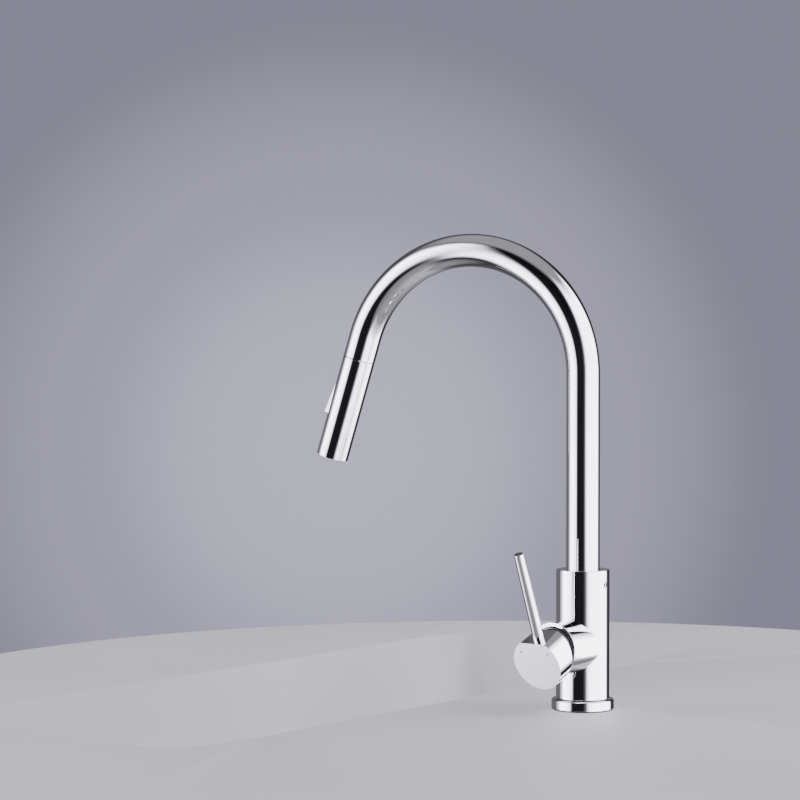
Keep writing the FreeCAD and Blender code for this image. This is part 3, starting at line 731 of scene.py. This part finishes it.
def paint_frame():
    """Gives every CAD node its slot's material."""
    for part in frame["record"]["subparts"]:
        node = frame["nodes"][part["node"]]
        node.data.materials.clear()
        node.data.materials.append(MATERIALS[part["material_slot"]])


# ---- stage and light -----------------------------------------------------------------


def stage_material():
    """Matt pale worktop."""
    return surface("pale_floor", (0.80, 0.80, 0.83), 0.0, (0.55, 0.7), 6.0, 0.015, 4.0, 0.04, 400.0)


def make_floor():
    """Round pale worktop with a basin in front of the spout, where the pulled-out head can hang."""
    middle = Vector((0, -0.258))
    half_x, half_y = 0.36, 0.142
    centre = Vector((0, -0.05))
    radius, depth, edge, wall, spokes = 0.60, 0.27, 0.004, 0.004, 288

    def basin(shrink, power=9):
        points = []
        for i in range(spokes):
            turn = 2 * math.pi * i / spokes
            way = Vector((math.cos(turn), math.sin(turn)))
            reach = (abs(way.x / half_x) ** power + abs(way.y / half_y) ** power) ** (-1 / power)
            points.append(middle + way * (reach - shrink))
        return points

    def rim(size):
        points = []
        for p in basin(0):
            way = (p - middle).normalized()
            start = middle - centre
            along = start.dot(way)
            reach = -along + math.sqrt(along * along - start.length_squared + size * size)
            points.append(middle + way * reach)
        return points

    inner = [(basin(0), -edge), (basin(0.012), -depth + 0.035), (basin(0.018), -depth + 0.012),
             (basin(0.035), -depth)]
    outer = [(basin(0.035 - wall), -depth - wall), (basin(0.018 - wall), -depth + 0.010 - wall),
             (basin(0.012 - wall), -depth + 0.033), (basin(-wall), -WORKTOP_T)]
    top = [(rim(radius - edge), -WORKTOP_T), (rim(radius), edge - WORKTOP_T), (rim(radius), -edge),
           (rim(radius - 0.3 * edge), -0.3 * edge), (rim(radius - edge), 0), (basin(-edge), 0),
           (basin(-0.3 * edge), -0.3 * edge)]
    bm = bmesh.new()
    rings = [[bm.verts.new((p.x, p.y, z)) for p in points] for points, z in outer + top + inner]
    for a, b in zip(rings, rings[1:]):
        for i in range(spokes):
            j = (i + 1) % spokes
            bm.faces.new([a[i], a[j], b[j], b[i]])
    bm.faces.new(rings[0])
    bm.faces.new(rings[-1])
    floor = new_object("floor", bm)
    hole = SHANK_R + 0.5 * MM
    carve(floor, [lathe("tool", [(0, -2 * WORKTOP_T), (hole, -2 * WORKTOP_T), (hole, WORKTOP_T),
                                 (0, WORKTOP_T)])])
    for polygon in floor.data.polygons:
        polygon.use_smooth = True
    floor.data.set_sharp_from_angle(angle=math.radians(40))
    floor.data.materials.append(stage_material())
    # Not mirrored: the chrome shows the studio, and the brass fittings below the worktop.
    floor.visible_glossy = False


def compass(degrees):
    """Where a compass direction lies on a ramp from 0 to 1."""
    return (degrees / 360 + 0.5) % 1.0


def make_world():
    """A pale studio told apart by direction: two soft white panels, a dark gap, grey walls."""
    world = bpy.data.worlds.new("studio")
    bpy.context.scene.world = world
    world.use_nodes = True
    n = Nodes(world.node_tree)
    ray = n.add("ShaderNodeTexCoord").outputs["Generated"]
    way = n.add("ShaderNodeSeparateXYZ", {0: ray})
    turn = n.math("ARCTAN2", way.outputs["Y"], way.outputs["X"])
    share = n.math("MULTIPLY_ADD", turn, 1 / (2 * math.pi), 0.5)
    rise = n.math("MULTIPLY_ADD", way.outputs["Z"], 0.5, 0.5)

    def by_compass(stops):
        return n.ramp(share, sorted((compass(d), grey(v)) for d, v in stops))

    def by_height(stops):
        return n.ramp(rise, [(0.5 + 0.5 * h, grey(v)) for h, v in stops])

    walls = by_compass([(-179, 0.06), (-165, 0.07), (-150, 0.22), (-85, 0.20), (-60, 0.20),
                        (-8, 0.06), (-3, 0.02), (37, 0.02), (40, 0.13), (47, 0.15), (60, 0.30),
                        (155, 0.30), (163, 0.08), (179, 0.06)])
    fade = by_height([(-0.95, 0.0), (-0.60, 0.35), (-0.20, 0.8), (0.05, 1.0), (0.40, 0.45),
                      (0.74, 0.45), (0.88, 0.0)])
    nadir = by_height([(-0.97, 0.32), (-0.90, 0.20), (-0.80, 0.0)])
    bounce = n.math("MULTIPLY", by_height([(-0.75, 0.36), (-0.50, 0.26), (-0.38, 0.0)]),
                    by_compass([(-155, 1.0), (-140, 0.1), (-15, 0.1), (0, 1.0)]))
    ceiling = by_height([(0.66, 0.0), (0.84, 0.40)])
    left = n.math("MULTIPLY", by_compass([(-82, 0.0), (-66, 0.2), (-54, 1.0), (-30, 0.8),
                                          (-16, 0.5), (-9, 0.04), (-5, 0.0)]),
                  by_height([(-0.72, 0.0), (-0.60, 0.5), (-0.48, 1.0), (0.52, 1.0), (0.72, 0.0)]))
    right = n.math("MULTIPLY", by_compass([(45, 0.0), (50, 0.08), (57, 0.45), (66, 0.75),
                                           (148, 0.9), (156, 0.3), (162, 0.0)]),
                   by_height([(-0.62, 0.0), (-0.50, 0.25), (-0.41, 0.8), (-0.34, 1.0), (0.66, 1.0),
                              (0.84, 0.0)]))
    panels = n.math("MULTIPLY", n.math("ADD", left, right), PANEL_STRENGTH)
    room = n.math("MULTIPLY_ADD", walls, fade, n.math("ADD", ceiling, nadir))
    room = n.math("ADD", room, bounce)
    room = n.math("ADD", room, panels)
    room = n.add("ShaderNodeVectorMath", {0: (0.985, 0.97, 1.05), "Scale": room}, operation="SCALE")
    pool = n.add("ShaderNodeVectorMath", {0: ray, 1: POOL_WAY}, operation="DOT_PRODUCT")
    off = n.math("MULTIPLY", n.math("SUBTRACT", 1.0, pool.outputs["Value"]), 60.0)
    backdrop = n.ramp(off, [(0.0, (0.60, 0.58, 0.75)), (0.35, (0.40, 0.385, 0.505)),
                            (1.0, (0.25, 0.24, 0.32))], "EASE")
    path = n.add("ShaderNodeLightPath")
    soft = n.add("ShaderNodeMix", {0: path.outputs["Is Glossy Ray"], 6: (0.62, 0.62, 0.66, 1),
                                   7: room.outputs[0]}, data_type="RGBA")
    seen = n.add("ShaderNodeMix", {0: path.outputs["Is Camera Ray"], 6: soft.outputs[2],
                                   7: backdrop}, data_type="RGBA")
    light = n.add("ShaderNodeBackground", {"Color": seen.outputs[2], "Strength": 1.0})
    n.add("ShaderNodeOutputWorld", {"Surface": light.outputs[0]})


def make_light(name, place, size, power):
    """A soft panel that faces the faucet."""
    data = bpy.data.lights.new(name, "AREA")
    data.shape = "RECTANGLE"
    data.size, data.size_y = size
    data.energy = power
    lamp = bpy.data.objects.new(name, data)
    bpy.context.scene.collection.objects.link(lamp)
    lamp.location = place
    lamp.rotation_mode = "QUATERNION"
    lamp.rotation_quaternion = (Vector((0, 0, 0.2)) - Vector(place)).to_track_quat("-Z", "Y")
    lamp.visible_glossy = False


make_camera()
make_world()
MATERIALS = make_materials()
paint_frame()
make_floor()
make_light("key_panel", (-0.6, 1.9, 1.9), (1.6, 1.2), 26)
make_light("fill_panel", (1.6, -1.6, 1.2), (1.4, 1.4), 12)

make_column()
make_flange()
make_shank()
make_cap()
make_lever()
make_spout()
make_hose()
make_shell()
make_button()
